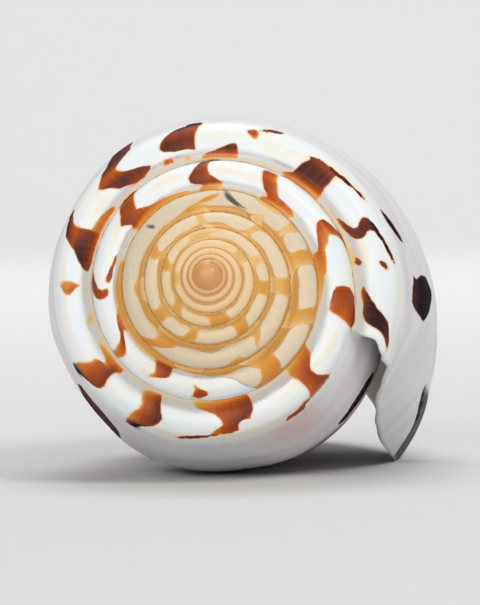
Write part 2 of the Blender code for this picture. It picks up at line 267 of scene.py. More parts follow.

# %% [markdown]
# The marks are drawn like notes on an unrolled paper strip. A flame is a list of rows: the distance
# across, the turns where the flame starts and ends there, and its darkness, from 0 for pale gold through
# 0.3 for orange and 0.6 for red-brown to 1 for nearly black. A darkness above 1 is a soft-edged grey: one
# dirt stain, and painted shade along the lip's outer edge and in the old break's chip. The number before
# the rows says how much darker the flame's older edge is than its younger one.

# %% Flames of the last whorl
LAST_WHORL = [
    (0.2, [(0, -345, -327, 0.15), (0.1, -344, -328, 0.25), (0.25, -343, -328, 0.3), (0.38, -339, -329, 0.5),
         (0.52, -336.5, -329.5, 0.55), (0.75, -337, -330, 0.5), (0.9, -339, -329.5, 0.5),
         (1, -341, -328, 0.5)]),
    (0, [(0.975, -334, -324, 0.6), (0.99, -332, -318, 0.6), (1.01, -324, -315, 0.6)]),
    (0.3, [(0, -304, -279, 0.12), (0.08, -305, -277, 0.28), (0.2, -305.5, -279, 0.4),
         (0.3, -305.5, -286, 0.5), (0.45, -305, -289.5, 0.6), (0.55, -303.5, -290.5, 0.6),
         (0.6, -302, -291, 0.6), (0.66, -298, -291, 0.55), (0.75, -297, -288, 0.5), (0.85, -297, -286, 0.5),
         (0.88, -295, -285, 0.45)]),
    (0, [(0.86, -291, -286, 0.5), (0.9, -288, -278, 0.7), (0.95, -282, -274, 0.8), (1, -275, -272, 0.8)]),
    (0, [(0.5, -304, -301, 0.5), (0.65, -302.6, -302, 0.4)]),
    (0.5, [(0.1, -261.5, -254, 0.25), (0.2, -262, -252.5, 0.4), (0.35, -262.5, -253.5, 0.55),
         (0.5, -264, -255, 0.55), (0.65, -265.5, -255, 0.55), (0.8, -264.5, -253.5, 0.55),
         (0.9, -263, -253, 0.5), (0.97, -260.5, -253, 0.5), (1.02, -257, -252, 0.9)]),
    (0.4, [(0.1, -240, -221, 0.2), (0.2, -239, -221.5, 0.25), (0.3, -237, -233, 0.5),
         (0.45, -237, -227, 0.55), (0.6, -237.5, -227.5, 0.52), (0.75, -238.5, -226.5, 0.52),
         (0.85, -238, -225.5, 0.48), (0.92, -236, -224.5, 0.48), (0.96, -232, -224.5, 0.65),
         (1.02, -228, -223, 0.95)]),
    (0, [(0.1, -212, -208, 0.1), (0.25, -212, -209, 0.1)]),
    (0.2, [(0.34, -195.3, -194.7, 0.3), (0.45, -196, -194, 0.42), (0.55, -198.5, -193.3, 0.35),
         (0.7, -198.5, -193.3, 0.3), (0.78, -196, -193.5, 0.18), (0.84, -194.5, -194, 0.1)]),
    (0.2, [(0.06, -185, -170, 0.5), (0.12, -189, -170, 0.57), (0.25, -188, -170, 0.68),
         (0.35, -186, -170.5, 0.75), (0.45, -184, -171, 0.75), (0.55, -181, -171.5, 0.68),
         (0.65, -180, -171.5, 0.52), (0.75, -178.5, -171.5, 0.5), (0.82, -177.5, -171, 0.6),
         (0.9, -176, -169, 0.8), (0.97, -172, -167, 0.85), (1.02, -169, -165.5, 0.9)]),
    (0, [(0.06, -171, -157, 0.33), (0.15, -171, -157, 0.38), (0.25, -171, -160, 0.28),
         (0.3, -171, -166, 0.25)]),
    (0.1, [(0.15, -145, -138, 0.55), (0.25, -144, -136, 0.55), (0.3, -149, -133, 0.7),
         (0.38, -150.5, -134.5, 0.73), (0.45, -151, -138, 0.75), (0.52, -152, -142, 0.73),
         (0.6, -154, -144.5, 0.6), (0.7, -156, -145.5, 0.48), (0.78, -154.5, -146, 0.45),
         (0.86, -152, -143, 0.62), (0.92, -151, -140, 0.73), (1, -148, -137.5, 0.8),
         (1.08, -143, -135, 0.83), (1.13, -145.5, -136.5, 0.8), (1.16, -147, -139, 0.8),
         (1.18, -147, -143, 0.78)]),
    (0, [(0, -155, -144, 0.7), (0.03, -153, -146, 0.7)]),
    (0, [(0.15, -129, -124, 0.4), (0.3, -128, -125, 0.4)]),
    (0, [(0.1, -119.5, -117, 0.15), (0.2, -119, -117, 0.15)]),
    (0.1, [(0.34, -115.5, -114.5, 0.6), (0.38, -120, -114.5, 0.65), (0.45, -126, -114.5, 0.7),
         (0.55, -128, -114.3, 0.73), (0.68, -127.5, -114, 0.68), (0.78, -126, -113.5, 0.62),
         (0.88, -123.5, -112.5, 0.6), (0.96, -120, -111.5, 0.78), (1.02, -116, -111.5, 0.88)]),
    (0, [(0.06, -112, -97, 0.17), (0.12, -112, -97, 0.3), (0.2, -111, -97, 0.45), (0.27, -107, -97.5, 0.6),
         (0.33, -104.5, -97.5, 0.75), (0.39, -102.5, -98, 0.75), (0.44, -100, -98.5, 0.7)]),
    (0, [(0, -110, -104, 0.7), (0.02, -109, -105, 0.7)]),
    (0, [(0.62, -92.5, -91.5, 0.3), (0.7, -95, -91.3, 0.45), (0.8, -95.5, -91.5, 0.5),
         (0.84, -94, -92, 0.5)]),
    (0, [(0.84, -91.5, -89, 0.5), (0.9, -90.5, -84.5, 0.68), (0.95, -88.5, -83.5, 0.72),
         (1, -86, -84, 0.7)]),
    (0.1, [(0, -75, -58, 0.2), (0.08, -77, -58, 0.28), (0.2, -73.5, -59, 0.55), (0.35, -73, -60, 0.78),
         (0.5, -72.5, -60, 0.8), (0.65, -71, -60.5, 0.75), (0.75, -72, -61, 0.62), (0.8, -69, -60, 0.7)]),
    (0, [(0.72, -63, -61, 0.85), (0.78, -66, -57, 0.85), (0.83, -62, -51, 0.87), (0.87, -56, -49, 0.85),
         (0.9, -52, -49.5, 0.75)]),
    (0, [(0.1, -52.5, -43, 0.33), (0.15, -47, -41, 0.57), (0.22, -45, -38, 0.72), (0.3, -41.5, -37, 0.72),
         (0.4, -40.5, -36.3, 0.75), (0.5, -42, -37, 0.75), (0.6, -43.5, -38.5, 0.73), (0.7, -44, -39, 0.78),
         (0.76, -42.5, -37.5, 0.85), (0.8, -41, -35, 0.9), (0.86, -36, -30.5, 0.88),
         (0.92, -32.5, -28.5, 0.83), (0.95, -30.5, -29, 0.8)]),
    (0, [(0.1, -29, -27.5, 0.55), (0.15, -29.8, -26.5, 0.66), (0.25, -28.8, -27, 0.6)]),
    (0, [(0.62, -27.5, -26.5, 0.7), (0.7, -28.5, -25.5, 0.76), (0.78, -27.5, -26, 0.7)]),
    (0, [(0.05, -36, -26, 0.1), (0.12, -34, -28, 0.1)]),
    (0, [(0.15, -17, -14, 0.4), (0.22, -18.5, -6, 0.66), (0.3, -15, -5, 0.82), (0.4, -13, -4.2, 0.9),
         (0.5, -10.5, -3.8, 0.9), (0.6, -9.5, -3.5, 0.86), (0.7, -9.5, -4, 0.82), (0.8, -9.5, -4, 0.8),
         (0.9, -6, -3, 0.8), (0.97, -4.5, -2.5, 0.7)]),
    (0, [(0, -11, -1, 0.7), (0.03, -9, -2, 0.7), (0.06, -5, -3, 0.7)]),
    (0, [(0, -42, -34, 0.7), (0.02, -41, -35, 0.7)]),
]
SIDE_MARKS = [
    (0, [(1.065, -240, -230, 0.78), (1.08, -247, -228, 0.84), (1.095, -250, -228, 0.86),
         (1.15, -251, -231, 0.84), (1.18, -246, -229, 0.8), (1.21, -243, -233, 0.75),
         (1.24, -240, -237, 0.7)]),
    (0, [(1.012, -47, -46, 0.88), (1.018, -46.5, -40.5, 0.9), (1.03, -44, -37.5, 0.9),
         (1.038, -41, -37, 0.88), (1.043, -38.5, -37, 0.85)]),
    (0, [(1.04, -24, -21, 0.8), (1.045, -29, -20.5, 0.85), (1.06, -28.5, -20.5, 0.93),
         (1.075, -31, -21, 0.98), (1.09, -32, -21, 0.99), (1.11, -33, -25, 0.99), (1.13, -31.5, -30, 0.93)]),
    (0, [(1.127, -346, -342, 0.88), (1.134, -352, -331, 0.9), (1.148, -352, -331, 0.92),
         (1.156, -349, -334, 0.88)]),
    # Painted shade, not the shell's colour: a dark line and a soft grey strip along the lip's outer edge,
    # where that edge turns away from the light.
    (0, [(1.26, -18, -15, 0.95), (1.3, -15.5, -12.5, 0.95), (1.355, -11.5, -8.5, 0.95),
         (1.38, -10, -1, 0.95)]),
    (0, [(1.27, -17, -16, 1.08), (1.35, -17, -10.5, 1.12), (1.38, -16, 0, 1.13), (1.42, -13, 0, 1.13),
         (1.455, -8, 0, 1.12)]),
]
print(len(LAST_WHORL) + len(SIDE_MARKS), "marks on the last whorl")

# %% Flames of the older whorls
SECOND_WHORL = [
    (0.2, [(0.34, -370, -366, 0.35), (0.42, -375, -365, 0.45), (0.5, -377, -364.5, 0.48),
         (0.7, -377.5, -363.5, 0.48), (0.9, -377, -362, 0.5), (1, -374, -361, 0.5)]),
    (0.3, [(0, -393, -361, 0.08), (0.08, -395, -367, 0.2), (0.2, -395.5, -382, 0.28),
         (0.3, -399, -385, 0.33), (0.4, -404, -395, 0.38), (0.48, -407, -397, 0.4),
         (0.6, -409, -398.5, 0.35), (0.7, -409.5, -402, 0.38), (0.8, -409, -401, 0.48),
         (0.9, -406, -400, 0.5), (1, -402, -397, 0.43)]),
    (0.2, [(0, -438, -418, 0.1), (0.08, -439, -418, 0.25), (0.16, -436, -418, 0.38),
         (0.28, -437.5, -421, 0.4), (0.33, -439, -431, 0.5), (0.45, -441, -433, 0.48),
         (0.6, -442.5, -434.5, 0.45), (0.75, -443.5, -436.5, 0.43), (0.85, -444, -437, 0.48),
         (0.93, -443.5, -437, 0.65)]),
    (0.2, [(0, -475, -461, 0.05), (0.1, -474, -461, 0.12), (0.2, -472, -461.5, 0.3),
         (0.28, -477, -462, 0.55), (0.35, -479, -464.5, 0.6), (0.5, -479.5, -468.5, 0.6),
         (0.65, -477.5, -469.5, 0.6), (0.8, -475.5, -469.5, 0.55), (0.95, -473, -468.5, 0.62),
         (1, -472, -463, 0.75)]),
    (0.2, [(0, -520, -478, 0.11), (0.1, -520, -480, 0.22), (0.2, -521, -492, 0.33), (0.28, -519, -504, 0.48),
         (0.38, -520, -507, 0.55), (0.5, -522.5, -511, 0.6), (0.6, -523, -510.5, 0.58),
         (0.7, -520, -509.5, 0.53), (0.85, -518, -508, 0.55), (1, -515.5, -506, 0.5)]),
    (0, [(0.28, -543, -537, 0.45), (0.33, -551, -538, 0.55), (0.38, -554, -541, 0.55),
         (0.45, -555, -549, 0.55), (0.52, -554, -551, 0.55)]),
    (0, [(0.46, -560.5, -559, 0.5), (0.52, -562.3, -557.5, 0.52), (0.65, -563.2, -558.8, 0.52),
         (0.8, -563, -557, 0.5), (0.9, -561.5, -553, 0.58), (0.97, -559, -549, 0.65), (1, -557, -549, 0.6)]),
    (0.1, [(0.25, -585, -570, 0.3), (0.33, -583, -573, 0.4), (0.4, -585, -573.5, 0.45),
         (0.45, -587.5, -583, 0.65), (0.55, -591, -586, 0.62), (0.65, -593.5, -588, 0.48),
         (0.75, -595, -588.5, 0.35), (0.9, -594.5, -589.5, 0.28), (1, -593, -589, 0.25)]),
    (0, [(0, -642, -540, 0.11), (0.12, -640, -541, 0.15), (0.2, -612, -552, 0.11),
         (0.26, -608, -566, 0.07)]),
    (0.2, [(0.1, -621, -607, 0.33), (0.2, -621.5, -609, 0.48), (0.35, -622, -611.5, 0.55),
         (0.5, -621.8, -613, 0.55), (0.6, -620, -613.5, 0.5), (0.68, -616.5, -612.5, 0.4),
         (0.78, -612.5, -611, 0.2)]),
    (0, [(0.55, -637, -636, 0.2), (0.65, -639.5, -637.2, 0.28), (0.72, -643, -637.5, 0.45),
         (0.82, -645, -637, 0.53), (0.9, -644, -636.5, 0.58), (0.95, -641, -636, 0.55)]),
    (0.1, [(0, -686, -664, 0.1), (0.1, -686, -667, 0.14), (0.2, -686.5, -672, 0.16),
         (0.3, -686.5, -674, 0.22), (0.5, -688, -676.5, 0.25), (0.7, -688.5, -676, 0.28),
         (0.85, -687, -674.5, 0.28), (1, -684, -673, 0.25)]),
    (0.1, [(0.05, -716, -705, 0.11), (0.2, -718, -706, 0.16), (0.4, -720, -710, 0.18),
         (0.6, -722.5, -713, 0.18), (0.8, -724, -715, 0.18), (1, -723, -716.5, 0.16)]),
]
THIRD_WHORL = [
    (0.1, [(0, -760, -722, 0.08), (0.08, -760, -740, 0.11), (0.2, -758, -746, 0.16), (0.4, -758, -749, 0.18),
         (0.7, -758.5, -749, 0.18), (0.9, -757, -749.5, 0.22), (1, -755, -749.5, 0.2)]),
    (0, [(0.3, -774, -772, 0.08), (0.6, -776, -771, 0.1), (0.9, -775, -770, 0.15)]),
    (0, [(0, -795, -785, 0.1), (0.2, -797, -788, 0.1), (0.45, -792, -790, 0.08)]),
    (0, [(0.8, -796, -786, 0.1), (1, -800, -782, 0.15)]),
    (0.1, [(0, -850, -828, 0.1), (0.15, -850, -830, 0.18), (0.3, -849, -832, 0.18), (0.42, -844, -834, 0.18),
         (0.48, -838, -827, 0.2), (0.6, -833, -825, 0.22), (0.7, -829, -823, 0.25),
         (0.8, -824, -821.5, 0.2)]),
    (0, [(0.48, -873, -871.5, 1.12), (0.6, -874.5, -871, 1.12), (0.7, -875, -873, 1.12),
         (0.8, -874.5, -873.5, 1.12)]),
    # The old break's chip: partly the scar's own grey, partly painted shadow in the chip.
    (0, [(0.38, -808, -802, 1.15), (0.44, -812.5, -804, 1.15), (0.52, -816, -808.5, 1.15),
         (0.6, -817.5, -811, 1.13), (0.7, -818.5, -813.5, 1.12), (0.85, -819.5, -816.5, 1.12)]),
    (0, [(0, -935, -912, 0.05), (0.15, -931, -913, 0.1), (0.25, -929, -914, 0.18), (0.35, -927, -916, 0.2),
         (0.45, -923, -918, 0.2)]),
    (0.1, [(0.1, -975, -957, 0.1), (0.22, -977.5, -958, 0.2), (0.35, -977.5, -960, 0.22),
         (0.5, -976.5, -961.5, 0.25), (0.65, -972, -961.5, 0.25), (0.8, -967, -958, 0.3),
         (0.9, -962.5, -955.5, 0.3), (1, -959, -953, 0.35)]),
    (0, [(0.73, -1028, -1027, 0.1), (0.85, -1028.5, -1022, 0.18), (1, -1030, -1020, 0.18)]),
    (0, [(0, -1060, -1030, 0.09), (0.12, -1056, -1040, 0.12), (0.25, -1054, -1044, 0.16),
         (0.4, -1052, -1045, 0.18), (0.55, -1050, -1044, 0.18), (0.7, -1046, -1042.5, 0.15),
         (0.78, -1043.5, -1042.5, 0.12)]),
]
FIRST_WHORLS = [
    (0, [(0, -1100, -1087, 0.1), (1, -1100, -1087, 0.2)]),
    (0, [(0.1, -1153, -1148, 0.1), (0.4, -1152, -1147, 0.15), (0.65, -1151, -1145, 0.15),
         (0.9, -1148, -1141, 0.18)]),
    (0, [(0, -1190, -1180, 0.08), (0.3, -1196, -1190, 0.1), (0.6, -1199, -1193, 0.12),
         (0.95, -1199, -1194, 0.15)]),
    (0, [(0.1, -1252, -1232, 0.1), (0.35, -1252, -1246, 0.15), (0.6, -1256, -1246, 0.2),
         (0.8, -1255, -1243, 0.2), (0.95, -1251, -1241, 0.15)]),
    (0, [(0, -1325, -1296, 0.08), (0.3, -1318, -1302, 0.15), (0.7, -1318, -1305, 0.2),
         (1, -1316, -1304, 0.2)]),
    (0, [(0.1, -1353, -1346, 0.1), (0.4, -1355, -1345, 0.2), (0.8, -1353, -1342, 0.22),
         (1, -1348, -1338, 0.15)]),
    (0, [(0, -1412, -1385, 0.12), (0.2, -1410, -1392, 0.18), (0.5, -1409, -1394, 0.22),
         (0.8, -1407, -1394, 0.22), (1, -1404, -1393, 0.2)]),
    (0, [(0.2, -1455, -1440, 0.2), (0.9, -1455, -1442, 0.2)]),
    (0, [(0.1, -1488, -1470, 0.08), (0.5, -1484, -1474, 0.12), (1, -1483, -1475, 0.1)]),
    (0, [(0, -1578, -1552, 0.1), (0.5, -1575, -1545, 0.12), (0.8, -1572, -1530, 0.12)]),
    (0, [(0.2, -1627, -1617, 0.12), (0.6, -1627, -1613, 0.2), (1, -1625, -1608, 0.18)]),
    (0, [(0, -1685, -1662, 0.15), (0.3, -1684, -1668, 0.16), (0.7, -1688, -1674, 0.18),
         (1, -1690, -1672, 0.15)]),
    (0, [(0, -1750, -1715, 0.12), (0.4, -1752, -1726, 0.2), (1, -1755, -1730, 0.22)]),
    (0, [(0, -1860, -1838, 0.1), (1, -1862, -1842, 0.15)]),
    (0, [(0.2, -2012, -1990, 0.1), (1, -2010, -1985, 0.15)]),
]
FLAMES = LAST_WHORL + SIDE_MARKS + SECOND_WHORL + THIRD_WHORL + FIRST_WHORLS
print(len(FLAMES), "marks in all")

# %% [markdown]
# The lip of this snail broke twice and was mended. Each break left a line across the ramp, and the shell
# that grew after it starts with a small step. A line is a few places along the break: across and turn.

# %% Healed breaks
YOUNG_BREAK = [(0, -616), (0.16, -625), (0.20, -640), (0.25, -650), (0.30, -654), (0.40, -658), (0.50, -661)]
YOUNG_BREAK += [(0.70, -664), (0.90, -667.5), (1, -671)]
OLD_BREAK = [(0, -795), (0.28, -801), (0.36, -809), (0.45, -812), (0.55, -814), (0.70, -815.5)]
OLD_BREAK += [(0.92, -818.5)]
OLD_BREAK += [(1, -820)]
print("the lip broke and grew on at turns", YOUNG_BREAK[-1][1], "and", OLD_BREAK[-1][1])

# %% [markdown]
# The marks are then written into the chart, at each corner of its faces: how far inside a mark the corner
# lies, how dark that mark is, and how far behind the two breaks it is. The material draws its sharp edges
# from these distances, so an edge stays sharp between two vertices. Distances are kept within FAR
# millimetres.

# %% Painting the chart
RAMP_LENGTH = SUTURE_RADIUS * (GROWTH_PER_TURN - 1) * math.hypot(1, SPIRE_SLOPE)
FAR = 2.0
MARK_MARGIN = 12.0


def down_at(across):
    """Millimetres down from the suture, at the size the shell has at its lip."""
    return np.interp(across, [0, 1, 2], [0, RAMP_LENGTH, RAMP_LENGTH + CANAL_DEPTH])


def flame_edge(rows, turn, across, size):
    """Millimetres inside one flame, below 0 outside it, with its darkness and the share of its width."""
    at, first, last, dark = np.array(rows, float).T
    level = np.clip(across, at[0], at[-1])
    first, last, dark = [np.interp(level, at, values) for values in (first, last, dark)]
    radius = SUTURE_RADIUS * (1 + (GROWTH_PER_TURN - 1) * np.minimum(across, 1)) * size
    sideways = np.minimum(turn - first, last - turn) * np.radians(radius)
    top = (down_at(across) - down_at(at[0])) * size
    bottom = (down_at(at[-1]) - down_at(across)) * size
    if at[0] <= 0:
        top = top + FAR
    if at[-1] >= 1 and rows[-1][2] < -360:
        bottom = bottom + FAR
    ends = np.minimum(top, bottom)
    past_both = (sideways < 0) & (ends < 0)
    edge = np.where(past_both, -np.hypot(sideways, ends), np.minimum(sideways, ends))
    return edge, dark, np.clip((turn - first) / np.maximum(last - first, 0.1), 0, 1)


def paint_flames(turn, across, size):
    """The distance inside the nearest flame and that flame's darkness, for every corner."""
    flame = np.full(len(turn), -FAR)
    darkness = np.zeros(len(turn))
    for lean, rows in FLAMES:
        starts, ends = min(row[1] for row in rows), max(row[2] for row in rows)
        spots = np.flatnonzero((turn > starts - MARK_MARGIN) & (turn < ends + MARK_MARGIN))
        edge, dark, share = flame_edge(rows, turn[spots], across[spots], size[spots])
        dark = dark + lean * (0.5 - share)
        better = edge > flame[spots]
        flame[spots[better]] = edge[better]
        darkness[spots[better]] = dark[better]
    return flame, darkness


def older_than(line, turn, across, size):
    """Millimetres behind a healed break, below 0 on the shell that grew after it."""
    at, where = zip(*line)
    return np.clip((np.interp(across, at, where) - turn) * np.radians(SUTURE_RADIUS) * size, -FAR, FAR)


def paint_chart(mesh, chart):
    turn, across, depth = np.array(chart.written).T
    size = GROWTH_PER_TURN ** (turn / 360)
    flame, darkness = paint_flames(turn, across, size)
    layers = {"turn_here": turn, "down_here": down_at(across), "depth_here": depth}
    layers["mark_edge"] = flame
    layers["darkness"] = darkness
    layers["young_break"] = older_than(YOUNG_BREAK, turn, across, size)
    layers["old_break"] = older_than(OLD_BREAK, turn, across, size)
    for name, values in layers.items():
        written_values(mesh, name, "CORNER", values)
    return flame


flame_here = paint_chart(shell_chart, chart)
print(round(100 * float((flame_here > 0).mean())), "% of the corners lie in a flame")

# %% [markdown]
# Geometry Nodes then lift the flat chart into the shell, because the whole shape follows one rule. A law
# is hard to read as a heap of Math nodes, so a number in the tree is wrapped once, and sums are then
# written as sums.

# %% Numbers of a node tree, written as sums
def plug(tree, slot, value):
    if isinstance(value, Number):
        tree.links.new(value.socket, slot)
    else:
        slot.default_value = value


def work_out(tree, operation, *values):
    made = tree.nodes.new("ShaderNodeMath")
    made.operation = operation
    for slot, value in zip(made.inputs, values):
        plug(tree, slot, value)
    return Number(tree, made.outputs[0])


class Number:
    """A value in a node tree that can be added, multiplied and raised like any number."""

    def __init__(self, tree, socket):
        self.tree = tree
        self.socket = socket

    def does(self, operation, *others):
        return work_out(self.tree, operation, self, *others)

    def __add__(self, other):
        return self.does("ADD", other)

    def __sub__(self, other):
        return self.does("SUBTRACT", other)

    def __mul__(self, other):
        return self.does("MULTIPLY", other)

    def __truediv__(self, other):
        return self.does("DIVIDE", other)

    def __pow__(self, other):
        return self.does("POWER", other)

    def __rsub__(self, other):
        return work_out(self.tree, "SUBTRACT", other, self)

    __radd__ = __add__
    __rmul__ = __mul__

    def eased(self, start, end, low=0.0, high=1.0):
        """A smooth step from low to high while this number goes from start to end."""
        made = self.tree.nodes.new("ShaderNodeMapRange")
        made.interpolation_type = "SMOOTHSTEP"
        names = ("Value", "From Min", "From Max", "To Min", "To Max")
        for name, value in zip(names, (self, start, end, low, high)):
            plug(self.tree, made.inputs[name], value)
        return Number(self.tree, made.outputs["Result"])

    def along(self, points):
        """The height of a drawn template curve at this number."""
        xs, ys = zip(*points)
        low, high = min(ys), max(ys)
        place = self.tree.nodes.new("ShaderNodeMapRange")
        plug(self.tree, place.inputs["Value"], self)
        place.inputs["From Min"].default_value = xs[0]
        place.inputs["From Max"].default_value = xs[-1]
        made = self.tree.nodes.new("ShaderNodeFloatCurve")
        line = made.mapping.curves[0]
        while len(line.points) < len(points):
            line.points.new(0.5, 0.5)
        for point, x, y in zip(line.points, xs, ys):
            point.location = ((x - xs[0]) / (xs[-1] - xs[0]), (y - low) / (high - low))
            point.handle_type = "AUTO_CLAMPED"
        made.mapping.update()
        self.tree.links.new(place.outputs["Result"], made.inputs["Value"])
        return low + (high - low) * Number(self.tree, made.outputs["Value"])


def join_xyz(tree, x, y, z):
    made = tree.nodes.new("ShaderNodeCombineXYZ")
    for slot, value in zip(made.inputs, (x, y, z)):
        plug(tree, slot, value)
    return made.outputs[0]


print("a Number adds, multiplies, eases and follows a template curve")

# %% [markdown]
# This is the law itself. A place's radius and height come from its whorl's suture, its azimuth from its
# turn. Growth was never even, so the outside also gets low folds along the growth lines, faint cords
# round the ramp and two healed breaks, where the lip once chipped and grew on with a step.

# %% Sizes of the fine relief
FOLD_HEIGHT = 0.05
FOLD_EVERY = 11.0
CORD_HEIGHT = 0.004
CORDS = 7
SIDE_CORD_HEIGHT = 0.02
SIDE_CORDS = 22
PIT_DEPTH = 0.10
PIT_EVERY = 4.0
PIT_ROWS = 9
SUTURE_WOBBLE = 0.12
SUTURE_WIDTH = 0.05
OLD_PART_ENDS = -640.0
BREAK_STEP = 0.16
BREAK_GROOVE = 0.12
BREAK_WIDTH = 1.3
print("folds of", FOLD_HEIGHT, "mm, about every", FOLD_EVERY, "degrees of growth")

# %% The growth tree
def start_tree(name, sizes):
    tree = bpy.data.node_groups.new(name, "GeometryNodeTree")
    tree.interface.new_socket("Geometry", in_out="INPUT", socket_type="NodeSocketGeometry")
    for label, value in sizes.items():
        socket = tree.interface.new_socket(label, in_out="INPUT", socket_type="NodeSocketFloat")
        socket.default_value = value
    tree.interface.new_socket("Geometry", in_out="OUTPUT", socket_type="NodeSocketGeometry")
    return tree, tree.nodes.new("NodeGroupInput"), tree.nodes.new("NodeGroupOutput")


def read(tree, name):
    made = tree.nodes.new("GeometryNodeInputNamedAttribute")
    made.data_type = "FLOAT"
    made.inputs["Name"].default_value = name
    return Number(tree, made.outputs["Attribute"])


def noise(tree, place, detail):
    """Smooth noise between 0 and 1."""
    made = tree.nodes.new("ShaderNodeTexNoise")
    made.inputs["Scale"].default_value = 1.0
    made.inputs["Detail"].default_value = detail
    tree.links.new(place, made.inputs["Vector"])
    return Number(tree, made.outputs[0])


def fine_relief(tree, turn, across, suture):
    """Millimetres that the outside stands above the plain law."""
    size = suture / SUTURE_RADIUS
    on_ramp = across.eased(0.02, 0.2) * across.eased(0.86, 0.99, 1, 0)
    on_side = across.eased(1.02, 1.12)
    folds = noise(tree, join_xyz(tree, turn / FOLD_EVERY, across * 1.6, 0.0), 2.0) - 0.5
    cords = (across * CORDS * math.tau).does("COSINE")
    side_cords = (across * SIDE_CORDS * math.tau).does("COSINE")
    near_base = across.eased(1.45, 1.9, 0.25, 1)
    relief = size * (folds * FOLD_HEIGHT * 2 + cords * CORD_HEIGHT) * on_ramp
    relief = relief + (folds * FOLD_HEIGHT * 2 + side_cords * SIDE_CORD_HEIGHT * near_base) * on_side
    pits = noise(tree, join_xyz(tree, turn / PIT_EVERY, across * PIT_ROWS, 3.0), 1.0).eased(0.66, 0.74)
    pits = pits * turn.eased(OLD_PART_ENDS, OLD_PART_ENDS - 20)
    for place in (across, 1 - across):
        seam = (0 - (place / SUTURE_WIDTH) ** 2).does("EXPONENT")
        own_turn = turn if place is across else turn + 360
        wobble = noise(tree, join_xyz(tree, own_turn / 5, 0.0, 6.0), 2.0) - 0.5
        relief = relief + size * SUTURE_WOBBLE * 2 * seam * wobble
    relief = relief - size * PIT_DEPTH * pits * on_ramp
    for line in (YOUNG_BREAK, OLD_BREAK):
        past = turn - across.along(line)
        groove = (0 - (past / BREAK_WIDTH) ** 2).does("EXPONENT")
        step = past.eased(-1, 1) * past.eased(8, 60, 1, 0)
        relief = relief - size * on_ramp * (groove * BREAK_GROOVE + step * BREAK_STEP)
    return relief


def grow(tree, sizes):
    """The position of each vertex of the chart, in millimetres, in the shell's own frame."""
    turn, across, depth, closing = [read(tree, name) for name in ("turn", "across", "depth", "closing")]
    turn_now = turn + across.along(LIP_LEAD) * turn.eased(LIP_LEAD_FROM, 0)
    suture = sizes["Suture radius"] * sizes["Growth per turn"] ** (turn_now / 360)
    shoulder = suture * sizes["Growth per turn"]
    on_side = across.does("GREATER_THAN", 1.0)
    down = across - 1
    ramp_radius = suture + (shoulder - suture) * across
    ramp_height = suture * across.along(RAMP_RELIEF) - sizes["Spire slope"] * ramp_radius
    share = down.along(TAPER) + turn_now.along(SWELLING_ROUND) * down.along(SWELLING)
    share = share + turn_now.eased(WIDE_BASE_FROM, 0) * down.along(WIDE_BASE)
    side_height = 0 - sizes["Spire slope"] * shoulder * (1 - down) - sizes["Canal depth"] * down
    radius = ramp_radius + on_side * (shoulder * share - ramp_radius)
    height = ramp_height + on_side * (side_height - ramp_height)
    radius = radius - across.along(LIP_CURL) * turn.eased(LIP_CURL_FROM, LIP_CURL_TO) ** LIP_CURL_BEND
    wall = turn.eased(WALL_FULL_AT, 0, sizes["Wall thickness"], sizes["Lip thickness"])
    outside = depth.does("LESS_THAN", 0.01)
    inward = depth * wall - outside * fine_relief(tree, turn, across, suture)
    facing = across.along(WALL_FACING) * (math.pi / 180)
    radius = radius - inward * facing.does("SINE")
    height = height - inward * facing.does("COSINE")
    azimuth = (sizes["Lip azimuth"] + turn_now) * (math.pi / 180)
    early = (0 - (radius / EARLY_REACH) ** 2).does("EXPONENT")
    facing_flat = (azimuth - math.radians(FLAT_TOWARDS)).does("COSINE") * 0.5 + 0.5
    radius = radius * (1 - EARLY_FLAT * early * facing_flat)
    x = radius * azimuth.does("SINE") + EARLY_SHIFT[0] * early
    y = radius * azimuth.does("COSINE") + EARLY_SHIFT[1] * early
    z = height + EARLY_SHIFT[2] * early
    return x, y, z, closing


print("the law reads turn, across, depth and closing at each vertex")

# %% [markdown]
# The two ends of the spiral are closed by rings: a smooth round boss at the apex, where the larval shell
# was, and a small blunt end at the canal. Then the tree shades the mesh smooth and sets its material.

# %% Closing the ends, and growing the shell
BOSS_HEIGHT = 0.62
BASE_DOME = 1.2
SIZES = {
    "Suture radius": SUTURE_RADIUS,
    "Growth per turn": GROWTH_PER_TURN,
    "Spire slope": SPIRE_SLOPE,
    "Canal depth": CANAL_DEPTH,
    "Lip azimuth": LIP_AZIMUTH,
    "Wall thickness": WALL_THICKNESS,
    "Lip thickness": LIP_THICKNESS,
    "Boss height": BOSS_HEIGHT,
    "Base dome": BASE_DOME,
}


def growth_tree(material):
    tree, start, end = start_tree("grow_the_shell", SIZES)
    sizes = {label: Number(tree, start.outputs[label]) for label in SIZES}
    x, y, z, closing = grow(tree, sizes)
    at_apex = closing.does("GREATER_THAN", 0.0)
    at_base = closing.does("LESS_THAN", 0.0)
    drawn = closing.does("ABSOLUTE")
    tip = at_apex * sizes["Boss height"] - at_base * (sizes["Canal depth"] + sizes["Base dome"])
    x = x + (at_apex * EARLY_SHIFT[0] - x) * drawn
    y = y + (at_apex * EARLY_SHIFT[1] - y) * drawn
    z = z + (tip - z) * (1 - (1 - drawn) ** 2)
    place = tree.nodes.new("GeometryNodeSetPosition")
    tree.links.new(start.outputs["Geometry"], place.inputs["Geometry"])
    tree.links.new(join_xyz(tree, x, y, z), place.inputs["Position"])
    smooth = tree.nodes.new("GeometryNodeSetShadeSmooth")
    made_real = tree.nodes.new("GeometryNodeRealizeInstances")
    finish = tree.nodes.new("GeometryNodeSetMaterial")
    finish.inputs["Material"].default_value = material
    for one, other in zip((place, smooth, made_real, finish), (smooth, made_real, finish, end)):
        tree.links.new(one.outputs[0], other.inputs[0])
    return tree


